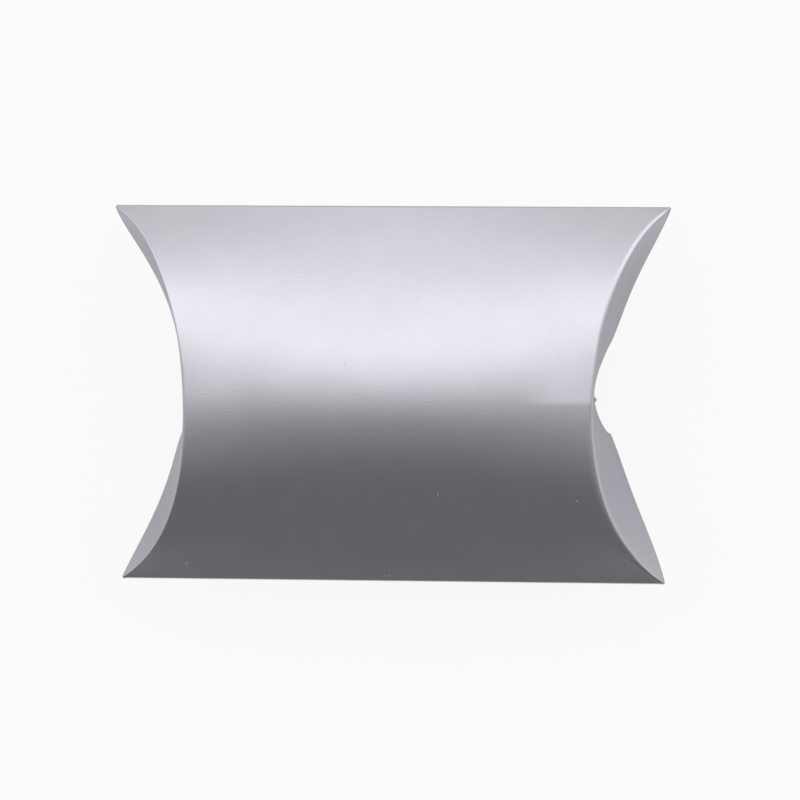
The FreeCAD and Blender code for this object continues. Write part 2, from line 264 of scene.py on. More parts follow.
def shape_of(sizes):
    """The radii, centres and sweeps that follow from the sizes, as for the upper half of the box."""
    s = SimpleNamespace()
    s.half_length = sizes.box_length / 2
    s.half_width = sizes.box_width / 2
    s.half_depth = sizes.box_depth / 2
    s.lens_half = s.half_width - sizes.fold_radius
    lens_rise = s.half_depth - sizes.fold_radius
    s.panel_radius = (s.lens_half ** 2 + lens_rise ** 2) / (2 * lens_rise) + sizes.fold_radius
    s.panel_drop = s.panel_radius - s.half_depth
    s.panel_sweep = 2 * math.atan(lens_rise / s.lens_half)
    s.panel_end = s.panel_radius * math.sin(s.panel_sweep)
    s.panel_edge = s.panel_radius * math.cos(s.panel_sweep) - s.panel_drop
    foot_setback = sizes.outer_setback - sizes.foot_lean
    foot_bow = 2 * (sizes.outer_setback + sizes.tip_overhang) - sizes.foot_lean - sizes.outer_bow
    outer_end = s.half_width - sizes.flap_end
    s.outer = wall_of(s, bowed(s, sizes.outer_setback, sizes.outer_bow, outer_end),
                      bowed(s, foot_setback, foot_bow, outer_end))
    s.outer.edge_centre = s.panel_drop + sizes.edge_trim
    s.outer.edge_radius = s.panel_radius
    inner_setback = sizes.outer_setback + sizes.nest_gap
    inner_bow = (sizes.outer_bow + foot_bow) / 2
    inner_end = s.half_width - sizes.inner_trim
    upright = bowed(s, inner_setback, inner_bow, inner_end)
    s.inner = wall_of(s, upright, upright)
    s.inner.edge_radius = (s.half_width ** 2 + sizes.inner_rise ** 2) / (2 * sizes.inner_rise)
    s.inner.edge_centre = s.inner.edge_radius - sizes.inner_rise
    return s


def bowed(s, setback, bow, end):
    """An arc across the box's end: the x of its centre, its radius and half its sweep."""
    radius = (s.half_width ** 2 + bow ** 2) / (2 * bow)
    return s.half_length - setback + radius, radius, math.asin(end / radius)


def wall_of(s, head, foot):
    """An end wall of straight lines, from an arc at the height of one crown to an arc at the other's."""
    centre, radius, _ = head
    tip = wall_point(head, foot, 1, fall_at(s, 0))
    return SimpleNamespace(head=head, foot=foot, crease=centre - radius, tip=tip)


def wall_point(head, foot, fraction, fall):
    """The point of an end wall at a fraction of its sweep and of its fall."""
    ends = [(centre - radius * math.cos(fraction * sweep), radius * math.sin(fraction * sweep))
            for centre, radius, sweep in (head, foot)]
    return tuple((1 - fall) * top + fall * bottom for top, bottom in zip(*ends))


def fall_at(s, z):
    """The fraction of a wall's fall at a height above the plane of the folds."""
    return (s.half_depth - z) / (2 * s.half_depth)


def fraction_at(s, wall, y, z):
    """The fraction of a wall's sweep at which it passes y, at a height above the plane of the folds."""
    fall = fall_at(s, z)
    low = 0.0
    high = PAST_SWEEP_SHARE
    for _ in range(HALVINGS):
        middle = (low + high) / 2
        if wall_point(wall.head, wall.foot, middle, fall)[1] < y:
            low = middle
        else:
            high = middle
    return low


# Sums in node trees


class Field:
    """A number in a node tree: a sum written with it becomes Math nodes."""

    def __init__(self, tree, socket):
        self.tree = tree
        self.socket = socket

    def math(self, operation, other=None):
        """A Math node of this field and another one or a plain number."""
        node = self.tree.nodes.new("ShaderNodeMath")
        node.operation = operation
        self.tree.links.new(self.socket, node.inputs[0])
        if isinstance(other, Field):
            self.tree.links.new(other.socket, node.inputs[1])
        elif other is not None:
            node.inputs[1].default_value = other
        return Field(self.tree, node.outputs[0])

    def __add__(self, other):
        return self.math("ADD", other)

    def __sub__(self, other):
        return self.math("SUBTRACT", other)

    def __rsub__(self, other):
        return self.math("MULTIPLY", -1).math("ADD", other)

    def __mul__(self, other):
        return self.math("MULTIPLY", other)

    def __truediv__(self, other):
        return self.math("DIVIDE", other)

    def __neg__(self):
        return self.math("MULTIPLY", -1)

    __radd__ = __add__

    def sin(self):
        return self.math("SINE")

    def cos(self):
        return self.math("COSINE")

    def root(self):
        return self.math("MAXIMUM", 0).math("SQRT")

    def exp(self):
        return self.math("EXPONENT")

    def size(self):
        return self.math("ABSOLUTE")

    def sign(self):
        return self.math("SIGN")

    def at_least(self, other):
        return self.math("MAXIMUM", other)

    def at_most(self, other):
        return self.math("MINIMUM", other)

    def above(self, other):
        return self.math("GREATER_THAN", other)

    def rounded(self, radius):
        """The field where it is above nought and nought below, with the corner between them rounded."""
        return (self + (self * self + radius * radius).root()) * 0.5

    def smooth(self, start, end):
        """A smooth step from nought at the start to one at the end."""
        part = ((self - start) / (end - start)).at_least(0).at_most(1)
        return part * part * (3 - part * 2)


def pick(mask, chosen, otherwise):
    """The chosen field where the mask is one, and the other where it is nought."""
    return otherwise + mask * (chosen - otherwise)


def hump(part):
    """One at a half, and nought at nought and at one."""
    return part * (1 - part) * 4


# Sheets of card, each laid by a node tree


WALL_INPUTS = ("Head Centre", "Head Radius", "Head Sweep", "Foot Centre", "Foot Radius", "Foot Sweep",
               "Edge Centre", "Edge Radius", "Panel Radius", "Panel Drop", "Panel End", "Half Depth",
               "Fold Ease", "Seam Shoulder", "Spine Shoulder", "Ridge Width", "Spine Sign")
END_INPUTS = ("Roll", "Middle Roll", "Middle Set", "Spine Set", "Seam Set", "Ridge", "Ridge Round")


def wall_values(s, wall, sizes, sign):
    """The inputs of a wall's tree, by the sign of its end. Inner walls have no ease and no shoulders."""
    values = dict(zip(WALL_INPUTS, (*wall.head, *wall.foot)))
    values["Edge Centre"] = wall.edge_centre
    values["Edge Radius"] = wall.edge_radius
    values["Panel Radius"] = s.panel_radius
    values["Panel Drop"] = s.panel_drop
    values["Panel End"] = s.panel_end
    values["Half Depth"] = s.half_depth
    outer = wall is s.outer
    values["Fold Ease"] = sizes.fold_ease if outer else 0.0
    values["Seam Shoulder"] = sizes.seam_shoulder if outer else 0.0
    values["Spine Shoulder"] = sizes.spine_shoulder if outer else 0.0
    values["Ridge Width"] = sizes.ridge_width
    values["Spine Sign"] = sign
    return values


def end_values(sizes, side, outer):
    """The inputs of one end's crease."""
    if not outer:
        return {**dict.fromkeys(END_INPUTS, 0.0), "Roll": sizes.inner_roll}
    return {label: getattr(sizes, f"{side}_{label.lower().replace(' ', '_')}") for label in END_INPUTS}


class SheetTree:
    """A node tree that lays a grid of card, whose points follow sums of its two grid fields."""

    def __init__(self, name, inputs):
        self.tree = bpy.data.node_groups.new(name, "GeometryNodeTree")
        sides = self.tree.interface
        sides.new_socket("Geometry", in_out="OUTPUT", socket_type="NodeSocketGeometry")
        for label in ("Rows", "Columns"):
            sides.new_socket(label, in_out="INPUT", socket_type="NodeSocketInt")
        for label in inputs:
            sides.new_socket(label, in_out="INPUT", socket_type="NodeSocketFloat")
        sides.new_socket("Material", in_out="INPUT", socket_type="NodeSocketMaterial")
        self.entry = self.tree.nodes.new("NodeGroupInput")
        self.grid = self.tree.nodes.new("GeometryNodeMeshGrid")
        for socket in self.grid.inputs[:2]:
            socket.default_value = GRID_SPAN
        self.tree.links.new(self.entry.outputs["Rows"], self.grid.inputs["Vertices X"])
        self.tree.links.new(self.entry.outputs["Columns"], self.grid.inputs["Vertices Y"])
        place = self.tree.nodes.new("GeometryNodeInputPosition")
        split = self.tree.nodes.new("ShaderNodeSeparateXYZ")
        self.tree.links.new(place.outputs[0], split.inputs[0])
        self.along = Field(self.tree, split.outputs["X"])
        self.across = Field(self.tree, split.outputs["Y"])

    def __getitem__(self, label):
        return Field(self.tree, self.entry.outputs[label])

    def finish(self, x, y, z, cut=None):
        """Marks the die-cut edge on the flat grid, moves its points and gives the sheet its material."""
        nodes, links = self.tree.nodes, self.tree.links
        made = self.grid.outputs["Mesh"]
        # The mark near the die-cut edge places the painted shade line of the silver face
        if cut:
            mark = nodes.new("GeometryNodeStoreNamedAttribute")
            mark.data_type = "FLOAT"
            mark.domain = "POINT"
            mark.inputs["Name"].default_value = CUT_MARK
            links.new(made, mark.inputs["Geometry"])
            links.new(cut.socket, mark.inputs["Value"])
            made = mark.outputs[0]
        join = nodes.new("ShaderNodeCombineXYZ")
        for field, socket in zip((x, y, z), join.inputs):
            links.new(field.socket, socket)
        place = nodes.new("GeometryNodeSetPosition")
        links.new(made, place.inputs["Geometry"])
        links.new(join.outputs[0], place.inputs["Position"])
        real = nodes.new("GeometryNodeRealizeInstances")
        links.new(place.outputs[0], real.inputs[0])
        paint = nodes.new("GeometryNodeSetMaterial")
        links.new(real.outputs[0], paint.inputs["Geometry"])
        links.new(self.entry.outputs["Material"], paint.inputs["Material"])
        leave = nodes.new("NodeGroupOutput")
        links.new(paint.outputs[0], leave.inputs[0])
        return self.tree


def crossing(sheet, head_y, run_y, centre, radius, upper):
    """Where a wall's line, as a share of its fall, meets a round surface along the box's length."""
    fall = sheet["Half Depth"] * 2
    rise = sheet["Half Depth"] - centre
    square = run_y * run_y + fall * fall
    half = head_y * run_y - fall * rise
    rest = head_y * head_y + rise * rise - radius * radius
    inside = half * half - square * rest
    found = (-half - inside.root()) if upper else (inside.root() - half)
    return found / square, inside


def wall_fields(sheet, fraction):
    """The line down a wall at a fraction of its sweep, and where it meets the crease and the free edge."""
    turns = {arc: fraction * sheet[f"{arc} Sweep"] for arc in ("Head", "Foot")}
    x = {arc: sheet[f"{arc} Centre"] - sheet[f"{arc} Radius"] * turns[arc].cos() for arc in turns}
    y = {arc: sheet[f"{arc} Radius"] * turns[arc].sin() for arc in turns}
    w = SimpleNamespace(head_x=x["Head"], head_y=y["Head"])
    w.run_x = x["Foot"] - x["Head"]
    w.run_y = y["Foot"] - y["Head"]
    w.fall = sheet["Half Depth"] * 2
    w.slope = (w.run_x * w.run_x + w.run_y * w.run_y + w.fall * w.fall).root()
    w.crease, _ = crossing(sheet, w.head_y, w.run_y, -sheet["Panel Drop"], sheet["Panel Radius"], True)
    w.edge, _ = crossing(sheet, w.head_y, w.run_y, sheet["Edge Centre"], sheet["Edge Radius"], False)
    return w


def crease_fields(sheet, fraction, end):
    """The wall's line, with the crease point, the front's small forms and the roll beside the crease."""
    w = wall_fields(sheet, fraction)
    w.y = w.head_y + w.run_y * w.crease
    spine_y = w.y * sheet["Spine Sign"]
    w.spine_side = spine_y.smooth(*SPINE_SIDE_STEP)
    w.crisp = spine_y.smooth(*CRISP_STEP)
    off = w.y / sheet["Panel End"]
    beside = off * off
    within = 1 - beside
    middle = within.math("POWER", MIDDLE_POWER)
    w.near_tip = beside.math("POWER", NEAR_TIP_POWER) * within * NEAR_TIP_SCALE
    tip_set = pick(w.spine_side, end("Spine Set"), end("Seam Set"))
    w.set_in = w.near_tip * tip_set + middle * end("Middle Set")
    w.x = w.head_x + w.run_x * w.crease - w.set_in
    w.bulge = sheet["Half Depth"] - w.fall * w.crease - sheet["Fold Ease"] * beside * within
    shoulder = pick(w.spine_side, sheet["Spine Shoulder"], sheet["Seam Shoulder"] * within)
    w.lift = beside * within * shoulder
    past_ridge = (spine_y - RIDGE_PLACE).rounded(end("Ridge Round"))
    w.ridge = ((-(past_ridge / sheet["Ridge Width"])).exp() - 1) * within * end("Ridge")
    w.z = w.bulge + w.lift + w.ridge
    roll = end("Roll") * (1 - w.crisp * (1 - CRISP_ROLL_SHARE)) + middle * end("Middle Roll")
    roll_room = (w.edge - w.crease) * w.slope * ROLL_ROOM_SHARE
    to_tip = pick(w.spine_side, 1.0, (within / TIP_ROLL_SHARE).at_most(1))
    w.roll = roll.at_most(roll_room) * to_tip
    return w


def panel_tree():
    """A bulged panel between two curved creases."""
    ends = tuple(f"{side} {label}" for side in ("Right", "Left") for label in END_INPUTS)
    sheet = SheetTree("bulged_panel", WALL_INPUTS + ("From", "To") + ends)
    right = sheet.along.above(0)
    middle = (sheet["To"] + sheet["From"]) * 0.5
    reach = (sheet["To"] - sheet["From"]) * 0.5
    w = crease_fields(sheet, middle + reach * sheet.across,
                      lambda label: pick(right, sheet[f"Right {label}"], sheet[f"Left {label}"]))
    near_end = sheet.along.size().smooth(*RIDGE_STEP_SHARES)
    z = w.bulge + w.lift * sheet.along * sheet.along + w.ridge * near_end
    return sheet.finish(sheet.along * (w.x - w.roll), w.y, z)


FLAP_INPUTS = ("Sweep End", "Notch At", "Notch Radius", "Notch Drop", "Notch Pinch", "Belly", "Skew",
               "Flare", "Nick", "Nick At", "Edge Shade Width")


def flap_fraction(sheet):
    """The fraction of the sweep at each column: some share of the columns crowds at the notch."""
    off = sheet.across.size()
    beside = (off - NOTCH_COLUMN_SHARE).at_least(0) / (1 - NOTCH_COLUMN_SHARE)
    within = (off / NOTCH_COLUMN_SHARE).at_most(1)
    notched = sheet["Notch At"] * (within * (math.pi / 2)).sin()
    return sheet.across.sign() * (notched + (sheet["Sweep End"] - sheet["Notch At"]) * beside)


def flap_tree():
    """A flap: the soft roll at its crease, then the wall down to its free edge or its notch."""
    sheet = SheetTree("end_flap", WALL_INPUTS + END_INPUTS + FLAP_INPUTS)
    w = crease_fields(sheet, flap_fraction(sheet), lambda label: sheet[label])
    notch, inside = crossing(sheet, w.head_y, w.run_y, -sheet["Notch Drop"], sheet["Notch Radius"], True)
    end = w.edge.at_most(pick(inside.above(0), notch, w.edge))
    run = (end - w.crease) * w.slope
    down = (sheet.along + 1) * 0.5
    rolled = (down / ROLL_ROW_SHARE).at_most(1)
    walled = ((down - ROLL_ROW_SHARE) / (1 - ROLL_ROW_SHARE) * (math.pi / 2)).at_least(0).sin()
    back = w.roll * (1 - rolled) * (1 - rolled * (1 - w.crisp))
    turned = w.roll * (1 - w.crisp * (1 - CRISP_DROP_SHARE))
    below = turned * rolled * rolled + (run - turned) * walled
    depth = below / w.slope
    full = (w.edge - w.crease).at_least(LEAST)
    off = w.y / (sheet["Notch Radius"] * PINCH_SPREAD_SHARE).at_least(LEAST)
    pinch = sheet["Notch Pinch"] * (depth / full) * (-(off * off)).exp()
    # Nearness to the free edge or notch within the painted shade line; the nick's burr follows it too
    to_edge = 1 - ((run - below) / sheet["Edge Shade Width"]).at_most(1)
    nick_off = ((w.y - sheet["Nick At"]).size() / sheet["Nick"].at_least(LEAST)).at_most(1)
    burr = sheet["Nick"] * (1 - nick_off) * to_edge
    off_notch = (w.y.size() - sheet["Notch Radius"]) / (sheet["Panel End"] - sheet["Notch Radius"])
    outward = off_notch.rounded(BELLY_ROUND_SHARE)
    lean = sheet["Skew"] * sheet["Spine Sign"] * w.y.sign()
    belly = (sheet["Belly"] - lean) * hump(outward)
    swell = (belly + w.set_in + sheet["Flare"] * w.near_tip * w.spine_side) * (depth / full)
    x = w.x - back + w.run_x * depth - pinch + swell + burr
    return sheet.finish(x, w.y + w.run_y * depth, w.z - w.fall * depth, to_edge)


def nose_tree():
    """A long fold: a rounded nose of card along the box."""
    sheet = SheetTree("long_fold", ("Nose Centre", "Nose Radius", "Nose Sweep", "Half Run"))
    turn = -(sheet.across * sheet["Nose Sweep"])
    y = sheet["Nose Centre"] + sheet["Nose Radius"] * turn.cos()
    return sheet.finish(sheet.along * sheet["Half Run"], y, sheet["Nose Radius"] * turn.sin())


def lay_sheet(name, tree, values, grid, turn, card):
    """Runs a tree on a new object, gives the sheet its thickness and leaves a plain mesh in its place."""
    materials = card_faces()
    rows, columns = grid
    source = bpy.data.objects.new(f"{name}_source", bpy.data.meshes.new(f"{name}_source"))
    bpy.context.scene.collection.objects.link(source)
    for material in materials:
        source.data.materials.append(material)
    layer = source.modifiers.new("sheet", "NODES")
    layer.node_group = tree
    settings = {"Rows": rows, "Columns": columns, "Material": materials[0], **values}
    for item in tree.interface.items_tree:
        if item.in_out == "INPUT":
            layer[item.identifier] = settings[item.name]
    wall = source.modifiers.new("card", "SOLIDIFY")
    wall.thickness = card
    wall.offset = -1
    wall.use_even_offset = True
    wall.material_offset = 1
    wall.material_offset_rim = 2
    ready = source.evaluated_get(bpy.context.evaluated_depsgraph_get())
    mesh = bpy.data.meshes.new_from_object(ready)
    if not mesh.polygons:
        raise RuntimeError(f"{name} has no faces")
    mesh.materials.clear()
    for material in materials:
        mesh.materials.append(material)
    lift = Matrix.Translation(Z_AXIS * (CAD_HIGH.z + CAD_LOW.z) / 2)
    mesh.transform(lift @ turn)
    mesh.shade_smooth()
    mesh.set_sharp_from_angle(angle=SHARP_ANGLE)
    mesh.name = name
    piece = bpy.data.objects.new(name, mesh)
    bpy.context.scene.collection.objects.link(piece)
    bpy.data.objects.remove(source)
    return piece


def half_turn(axis):
    """Half a turn about an axis."""
    return Matrix.Rotation(math.pi, 4, axis)


# Finishes


class Paint:
    """A material's node tree, with short ways to add and join nodes."""

    def __init__(self, name):
        self.material = bpy.data.materials.new(name)
        self.material.use_nodes = True
        self.tree = self.material.node_tree
        self.shader = self.tree.nodes["Principled BSDF"]

    def add(self, kind, **settings):
        return add_node(self.tree, kind, **settings)

    def join(self, source, target):
        self.tree.links.new(source, target)

    def blend(self, factor, tone):
        """A mix towards a colour, by a factor."""
        mix = self.add("ShaderNodeMix", data_type="RGBA")
        self.join(factor, mix.inputs["Factor"])
        mix.inputs["B"].default_value = (*tone, 1)
        return mix

    def set(self, **values):
        """Sets inputs of the shader by name, with an underscore for each blank."""
        for label, value in values.items():
            self.shader.inputs[label.replace("_", " ")].default_value = value


def add_node(tree, kind, **settings):
    """A new node, with its inputs and its own settings set by name."""
    node = tree.nodes.new(kind)
    for label, value in settings.items():
        if label in node.inputs:
            node.inputs[label].default_value = value
        else:
            setattr(node, label, value)
    return node


def shared_group(build):
    """The shader group that a function builds, made the first time that it is asked for."""
    name = build.__name__
    return bpy.data.node_groups.get(name) or build(name)


def start_group(name, inputs, outputs):
    """A new shader group of plain values, with its entry, its exit and its Object coordinates."""
    group = bpy.data.node_groups.new(name, "ShaderNodeTree")
    for direction, labels in (("INPUT", inputs), ("OUTPUT", outputs)):
        for label in labels:
            group.interface.new_socket(label, in_out=direction, socket_type="NodeSocketFloat")
    entry = group.nodes.new("NodeGroupInput")
    leave = group.nodes.new("NodeGroupOutput")
    place = group.nodes.new("ShaderNodeTexCoord")
    return group, entry, leave, place.outputs["Object"]


def card_grain(name):
    """Fine grain and broad mottle of card: a tone from 0 to 1 and a height."""
    group, entry, leave, place = start_group(name, ("Grain", "Mottle"), ("Tone", "Height"))
    made = {}
    for label, detail in NOISE_DETAILS.items():
        noise = add_node(group, "ShaderNodeTexNoise", Detail=detail, Roughness=NOISE_ROUGHNESS)
        rate = Field(group, entry.outputs[label]).math("POWER", -1)
        group.links.new(rate.socket, noise.inputs["Scale"])
        group.links.new(place, noise.inputs["Vector"])
        made[label] = noise.outputs["Fac"]
    mixed = add_node(group, "ShaderNodeMix", Factor=GRAIN_SHARE)
    group.links.new(made["Mottle"], mixed.inputs["A"])
    group.links.new(made["Grain"], mixed.inputs["B"])
    group.links.new(mixed.outputs["Result"], leave.inputs["Tone"])
    group.links.new(made["Grain"], leave.inputs["Height"])
    return group


def dust_specks(name):
    """Sparse specks of dust: a mask that is one on a speck."""
    group, entry, leave, place = start_group(name, ("Spacing", "Size"), ("Mask",))
    cells = group.nodes.new("ShaderNodeTexVoronoi")
    group.links.new(place, cells.inputs["Vector"])
    spacing = Field(group, entry.outputs["Spacing"])
    group.links.new(spacing.math("POWER", -1).socket, cells.inputs["Scale"])
    reach = Field(group, cells.outputs["Distance"]) * spacing
    mask = Field(group, entry.outputs["Size"]).above(reach)
    group.links.new(mask.socket, leave.inputs["Mask"])
    return group


# Sizes of a finish's grain, mottle and relief, its range of roughness, and the tone of its dark mottle
Texture = namedtuple("Texture", "grain mottle relief rough dark_share", defaults=(None, None))


def grained(paint, texture, low, high, rough):
    """Colour between two tones, roughness in a range and a fine relief, all from one grain."""
    group = paint.add("ShaderNodeGroup", node_tree=shared_group(card_grain))
    group.inputs["Grain"].default_value = texture.grain
    group.inputs["Mottle"].default_value = texture.mottle
    tone = paint.add("ShaderNodeMapRange")
    tone.inputs["From Min"].default_value, tone.inputs["From Max"].default_value = TONE_RANGE
    paint.join(group.outputs["Tone"], tone.inputs["Value"])
    blend = paint.blend(tone.outputs[0], high)
    blend.inputs["A"].default_value = (*low, 1)
    paint.join(blend.outputs["Result"], paint.shader.inputs["Base Color"])
    gloss = paint.add("ShaderNodeMapRange")
    gloss.inputs["To Min"].default_value, gloss.inputs["To Max"].default_value = rough
    paint.join(group.outputs["Tone"], gloss.inputs["Value"])
    paint.join(gloss.outputs[0], paint.shader.inputs["Roughness"])
    bump = paint.add("ShaderNodeBump", Strength=1.0, Distance=texture.relief)
    paint.join(group.outputs["Height"], bump.inputs["Height"])
    paint.join(bump.outputs[0], paint.shader.inputs["Normal"])
    return blend


def plain(paint, tone, texture):
    """One colour with its grain, whose dark mottle is a share of it."""
    dark = tuple(part * texture.dark_share for part in tone)
    grained(paint, texture, dark, tone, texture.rough)


SILVER_TEXTURE = Texture(grain=0.3 * MM, mottle=6 * MM, relief=0.012 * MM)


def silver_face(paint, finish):
    """Metallised face, with a painted shade line at die-cut edges, dark and not metallic, in place of the
    shadow in the gap there, and specks of dust.
    """
    rough = (finish.roughness - SILVER_ROUGHNESS_SPREAD, finish.roughness + SILVER_ROUGHNESS_SPREAD)
    face = grained(paint, SILVER_TEXTURE, finish.silver_low, finish.silver, rough)
    paint.set(Specular_Tint=(*finish.silver_rim, 1))
    # Painted shade: along the marked die-cut edge the face turns dark and stops being metal, standing in
    # for the shadow at the edge and in the gap behind the notch
    cut = paint.add("ShaderNodeAttribute", attribute_name=CUT_MARK)
    line = Field(paint.tree, cut.outputs["Fac"]) * CUT_SHADE_SHARE
    edge_shaded = paint.blend(line.socket, finish.raw_edge_and_shade)
    paint.join(face.outputs["Result"], edge_shaded.inputs["A"])
    specks = paint.add("ShaderNodeGroup", node_tree=shared_group(dust_specks))
    specks.inputs["Spacing"].default_value = SPECK_SPACING
    specks.inputs["Size"].default_value = SPECK_SIZE
    dusted = paint.blend(specks.outputs["Mask"], finish.dust)
    paint.join(edge_shaded.outputs["Result"], dusted.inputs["A"])
    paint.join(dusted.outputs["Result"], paint.shader.inputs["Base Color"])
    # Metal is off on the dust specks and on the painted shade line
    bare = (1 - Field(paint.tree, specks.outputs["Mask"])) * (1 - line)
    paint.join(bare.socket, paint.shader.inputs["Metallic"])


EDGE_TEXTURE = Texture(grain=0.08 * MM, mottle=1.5 * MM, relief=0.02 * MM,
                       rough=(0.75, 0.95), dark_share=0.85)


def raw_edge_and_shade(paint, finish):
    """Cut edge of the card, its colour darkened as painted shade for the shadow along the edge."""
    plain(paint, finish.raw_edge_and_shade, EDGE_TEXTURE)


INSIDE_TEXTURE = Texture(grain=0.15 * MM, mottle=4 * MM, relief=0.01 * MM,
                         rough=(0.7, 0.9), dark_share=0.93)


def card_inside(paint, finish):
    """Unprinted inside of the card."""
    plain(paint, finish.inside, INSIDE_TEXTURE)


GLUE_TEXTURE = Texture(grain=0.3 * MM, mottle=3 * MM, relief=0.02 * MM,
                       rough=(0.25, 0.5), dark_share=0.85)


def glue_film(paint, finish):
    """Dried glue between the tab and the back panel."""
    plain(paint, finish.glue, GLUE_TEXTURE)


def finished(dress):
    """The material that a function dresses, made the first time that it is asked for."""
    name = dress.__name__
    if name not in bpy.data.materials:
        dress(Paint(name), bpy.context.scene.pillow_box_finish)
    return bpy.data.materials[name]


def card_faces():
    """The materials of a sheet: its face, its inside and its cut edge."""
    return tuple(finished(dress) for dress in (silver_face, card_inside, raw_edge_and_shade))


# Pieces


class PILLOWBOX_OT_panels(bpy.types.Operator):
    """Lay the bulged front and back panels"""
    bl_idname = "pillowbox.panels"
    bl_label = "Panels"

    def execute(self, context):
        sizes = context.scene.pillow_box_sizes
        s = shape_of(sizes)
        tree = panel_tree()
        seam_end = s.panel_end - sizes.seam_setback
        sheets = (("front_panel_sheet", "front_panel", s.outer, s.panel_end, NO_TURN),
                  ("back_panel_sheet", "back_panel", s.inner, seam_end, half_turn(X_AXIS)))
        for name, node, wall, near, turn in sheets:
            values = wall_values(s, wall, sizes, 1.0)
            for side in ("right", "left"):
                for label, value in end_values(sizes, side, wall is s.outer).items():
                    values[f"{side.title()} {label}"] = value
            values["From"] = -fraction_at(s, wall, s.panel_end, s.panel_edge)
            values["To"] = fraction_at(s, wall, near, s.panel_edge)
            piece = lay_sheet(name, tree, values, PANEL_GRID, turn, sizes.card)
            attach(piece, "shell")
            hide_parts(node)
        return {"FINISHED"}


class PILLOWBOX_OT_outer_flaps(bpy.types.Operator):
    """Lay the two outer flaps, each with its thumb notch"""
    bl_idname = "pillowbox.outer_flaps"
    bl_label = "Outer flaps"

    def execute(self, context):
        sizes = context.scene.pillow_box_sizes
        s = shape_of(sizes)
        tree = flap_tree()
        notch_drop = s.half_depth - sizes.edge_trim
        edge_z = s.outer.edge_centre - math.sqrt(s.panel_radius ** 2 - sizes.notch_radius ** 2)
        corner = math.sqrt(sizes.notch_radius ** 2 - (edge_z + notch_drop) ** 2)
        ends = (("right", 1.0, sizes.nick, NO_TURN), ("left", -1.0, 0.0, half_turn(Z_AXIS)))
        for side, sign, nick, turn in ends:
            values = wall_values(s, s.outer, sizes, sign)
            values.update(end_values(sizes, side, True))
            for label in ("Belly", "Skew", "Flare"):
                values[label] = getattr(sizes, f"{side}_{label.lower()}")
            values["Edge Shade Width"] = sizes.edge_shade_width
            values["Sweep End"] = fraction_at(s, s.outer, s.panel_end, s.panel_edge)
            values["Notch At"] = fraction_at(s, s.outer, corner, edge_z)
            values["Notch Radius"] = sizes.notch_radius
            values["Notch Drop"] = notch_drop
            values["Notch Pinch"] = sizes.notch_pinch
            values["Nick"] = nick
            values["Nick At"] = NICK_PLACE
            piece = lay_sheet(f"{side}_outer_flap_card", tree, values, FLAP_GRID, turn, sizes.card)
            crown = Vector((sign * s.outer.crease, 0, CAD_HIGH.z))
            away = Vector((-sign * s.half_depth, 0, s.outer.crease - s.outer.tip[0])).normalized()
            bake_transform(piece)
            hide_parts(f"{side}_outer_flap")
        return {"FINISHED"}


class PILLOWBOX_OT_inner_flaps(bpy.types.Operator):
    """Lay the two inner flaps"""
    bl_idname = "pillowbox.inner_flaps"
    bl_label = "Inner flaps"

    def execute(self, context):
        sizes = context.scene.pillow_box_sizes
        s = shape_of(sizes)
        tree = flap_tree()
        values = dict.fromkeys(FLAP_INPUTS, 0.0)
        values["Edge Shade Width"] = sizes.edge_shade_width
        values["Sweep End"] = 1.0
        values["Notch At"] = NOTCH_COLUMN_SHARE
        ends = (("right", 1.0, half_turn(X_AXIS)), ("left", -1.0, half_turn(Y_AXIS)))
        for side, sign, turn in ends:
            values.update(wall_values(s, s.inner, sizes, sign))
            values.update(end_values(sizes, side, False))
            piece = lay_sheet(f"{side}_inner_flap_card", tree, values, FLAP_GRID, turn, sizes.card)
            crown = Vector((sign * s.inner.crease, 0, CAD_LOW.z))
            away = Vector((-sign * s.half_depth, 0, s.inner.tip[0] - s.inner.crease)).normalized()
            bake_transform(piece)
            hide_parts(f"{side}_inner_flap")
        return {"FINISHED"}


class PILLOWBOX_OT_long_folds(bpy.types.Operator):
    """Lay the two long folds between the panels"""
    bl_idname = "pillowbox.long_folds"
    bl_label = "Long folds"

    def execute(self, context):
        sizes = context.scene.pillow_box_sizes
        s = shape_of(sizes)
        tree = nose_tree()
        corner = fraction_at(s, s.outer, s.panel_end, s.panel_edge)
        corner_x, _ = wall_point(s.outer.head, s.outer.foot, corner, fall_at(s, s.panel_edge))
        values = {"Nose Centre": s.lens_half, "Nose Radius": sizes.fold_radius,
                  "Nose Sweep": math.pi / 2 - s.panel_sweep, "Half Run": corner_x}
        for name, turn in (("spine_fold", NO_TURN), ("seam_fold", half_turn(Z_AXIS))):
            piece = lay_sheet(f"{name}_nose", tree, values, NOSE_GRID, turn, sizes.card)
            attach(piece, "shell")
            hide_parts(name)
        return {"FINISHED"}


class PILLOWBOX_OT_seam(bpy.types.Operator):
    """Give the glue tab and the glue line their finishes"""
    bl_idname = "pillowbox.seam"
    bl_label = "Glued seam"

    def execute(self, context):
        for node, dress in (("glue_tab", card_inside), ("glue_line", glue_film)):
            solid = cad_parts[node].data
            solid.materials.clear()
            solid.materials.append(finished(dress))
        return {"FINISHED"}


# Stage


FLOOR_TEXTURE = Texture(grain=2 * MM, mottle=150 * MM, relief=0.001 * MM,
                        rough=(0.85, 0.95), dark_share=0.99)


